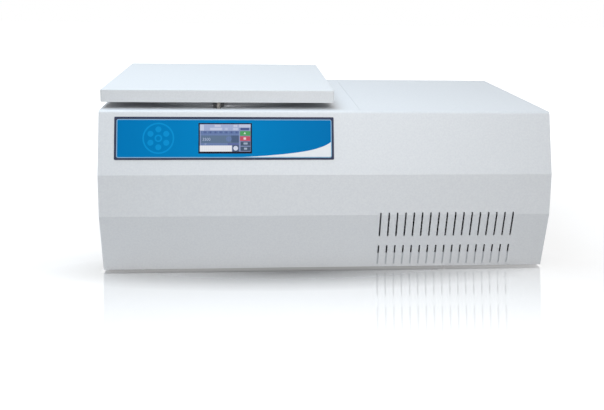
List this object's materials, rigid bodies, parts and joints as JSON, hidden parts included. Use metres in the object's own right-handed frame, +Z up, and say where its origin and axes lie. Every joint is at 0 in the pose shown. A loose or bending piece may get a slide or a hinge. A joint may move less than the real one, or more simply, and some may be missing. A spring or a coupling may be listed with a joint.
{
  "type": "laboratory centrifuge",
  "caption": "Wide refrigerated bench centrifuge with a folded sheet-metal front, flat hinged lid, touch panel, vent slots and a swing-out rotor.",
  "frame": {"origin": "on the bench under the middle of the cabinet", "axes": "+Z up, +X to the right and -Y to the front of the machine"},
  "size_m": [0.8532, 0.56, 0.346],
  "materials": {
    "cabinet_paint": "white powder coat, fine satin texture",
    "lid_paint": "white powder coat, satin",
    "zinc_sheet": "zinc plated sheet, dull",
    "stainless": "stainless steel, brushed",
    "black_plastic": "black moulded plastic, matt",
    "overlay_film": "printed blue film, satin",
    "display_glass": "dark cover glass, gloss",
    "circuit_board": "green solder mask",
    "black_rubber": "black rubber, matt",
    "foam": "cream foam",
    "copper": "copper tube, dull",
    "machined_aluminium": "machined, anodised",
    "fin_aluminium": "mill finish",
    "cast_iron_grey": "dark grey paint on cast iron",
    "compressor_paint": "black enamel",
    "chrome_rod": "ground and chromed",
    "screw_steel": "zinc plated steel"
  },
  "bodies": {
    "cabinet": {"base_pan": "zinc_sheet", "bay_cover": "cabinet_paint", "bay_divider": "zinc_sheet", "board_standoffs": "zinc_sheet", "casing_screws": "screw_steel", "chamber_bowl": "stainless", "chamber_deck": "cabinet_paint", "chamber_gasket": "black_rubber", "compressor": "compressor_paint", "compressor_grommets": "black_rubber", "condenser": "fin_aluminium", "control_board": "circuit_board", "control_overlay": "overlay_film", "drive_motor": "cast_iron_grey", "evaporator_coil": "copper", "fan_bracket": "zinc_sheet", "fan_motor": "cast_iron_grey", "fan_shroud": "zinc_sheet", "filter_drier": "copper", "front_panel": "cabinet_paint", "guard_ring": "cast_iron_grey", "hinge_bases": "stainless", "hinge_pins": "chrome_rod", "insulation_jacket": "foam", "inverter_drive": "fin_aluminium", "left_side_panel": "cabinet_paint", "lock_housing": "zinc_sheet", "lock_motor": "cast_iron_grey", "mains_inlet": "black_plastic", "motor_plate": "cast_iron_grey", "rear_panel": "cabinet_paint", "refrigerant_pipes": "copper", "right_side_panel": "cabinet_paint", "rubber_feet": "black_rubber", "shaft_boot": "black_rubber", "spring_base_brackets": "zinc_sheet", "switch_frame": "black_plastic", "touch_display": "display_glass", "vibration_mounts": "black_rubber"},
    "lid": {"lid_shell": "lid_paint", "lid_liner": "stainless", "lid_insulation": "foam", "lid_striker": "stainless", "striker_guide": "black_plastic", "hinge_leaves": "stainless", "spring_lid_brackets": "zinc_sheet"},
    "spring_tube_left": {"gas_spring_tube_left": "compressor_paint"},
    "spring_rod_left": {"gas_spring_rod_left": "chrome_rod"},
    "spring_tube_right": {"gas_spring_tube_right": "compressor_paint"},
    "spring_rod_right": {"gas_spring_rod_right": "chrome_rod"},
    "rotor": {"rotor_head": "machined_aluminium", "rotor_nut": "black_plastic", "drive_spindle": "stainless"},
    "bucket_1": {"bucket_1": "machined_aluminium"},
    "bucket_2": {"bucket_2": "machined_aluminium"},
    "bucket_3": {"bucket_3": "machined_aluminium"},
    "bucket_4": {"bucket_4": "machined_aluminium"},
    "lid_lock": {"lock_hook": "stainless"},
    "fan": {"cooling_fan": "black_plastic"},
    "power_rocker": {"switch_rocker": "black_plastic"}
  },
  "joints": [
    {"name": "lid_hinge", "type": "hinge", "parent": "cabinet", "child": "lid", "pos_m": [-0.207, 0.273, 0.316], "axis": [-1, 0, 0], "range_deg": [0, 65]},
    {"name": "spring_pivot_left", "type": "hinge", "parent": "cabinet", "child": "spring_tube_left", "pos_m": [-0.402, 0.265, 0.294], "axis": [-1, 0, 0], "range_deg": [0, 64.09]},
    {"name": "spring_stroke_left", "type": "slide", "parent": "spring_tube_left", "child": "spring_rod_left", "axis": [0, -1, -0.0068], "range_m": [0, 0.02521]},
    {"name": "spring_pivot_right", "type": "hinge", "parent": "cabinet", "child": "spring_tube_right", "pos_m": [-0.012, 0.265, 0.294], "axis": [-1, 0, 0], "range_deg": [0, 64.09]},
    {"name": "spring_stroke_right", "type": "slide", "parent": "spring_tube_right", "child": "spring_rod_right", "axis": [0, -1, -0.0068], "range_m": [0, 0.02521]},
    {"name": "rotor_spin", "type": "hinge", "parent": "cabinet", "child": "rotor", "pos_m": [-0.207, 0.012, 0.262], "axis": [0, 0, 1], "continuous": true},
    {"name": "bucket_1_swing", "type": "hinge", "parent": "rotor", "child": "bucket_1", "pos_m": [-0.113, 0.012, 0.262], "axis": [0, -1, 0], "range_deg": [0, 90]},
    {"name": "bucket_2_swing", "type": "hinge", "parent": "rotor", "child": "bucket_2", "pos_m": [-0.207, 0.106, 0.262], "axis": [1, 0, 0], "range_deg": [0, 90]},
    {"name": "bucket_3_swing", "type": "hinge", "parent": "rotor", "child": "bucket_3", "pos_m": [-0.301, 0.012, 0.262], "axis": [0, 1, 0], "range_deg": [0, 90]},
    {"name": "bucket_4_swing", "type": "hinge", "parent": "rotor", "child": "bucket_4", "pos_m": [-0.207, -0.082, 0.262], "axis": [-1, 0, 0], "range_deg": [0, 90]},
    {"name": "lock_hook_turn", "type": "hinge", "parent": "cabinet", "child": "lid_lock", "pos_m": [-0.197, -0.209, 0.264], "axis": [0, -1, 0], "range_deg": [0, 18]},
    {"name": "fan_spin", "type": "hinge", "parent": "cabinet", "child": "fan", "pos_m": [0.247, -0.16, 0.09], "axis": [0, 1, 0], "continuous": true},
    {"name": "power_rocker_tilt", "type": "hinge", "parent": "cabinet", "child": "power_rocker", "pos_m": [0.175, 0.274, 0.074], "axis": [1, 0, 0], "range_deg": [0, 12.5]}
  ],
  "couplings": [
    {"joint": "spring_pivot_left", "follows": "lid_hinge", "ratio": 0.98518},
    {"joint": "spring_stroke_left", "follows": "lid_hinge", "m_per_rad": 0.022137},
    {"joint": "spring_pivot_right", "follows": "lid_hinge", "ratio": 0.98518},
    {"joint": "spring_stroke_right", "follows": "lid_hinge", "m_per_rad": 0.022137}
  ]
}
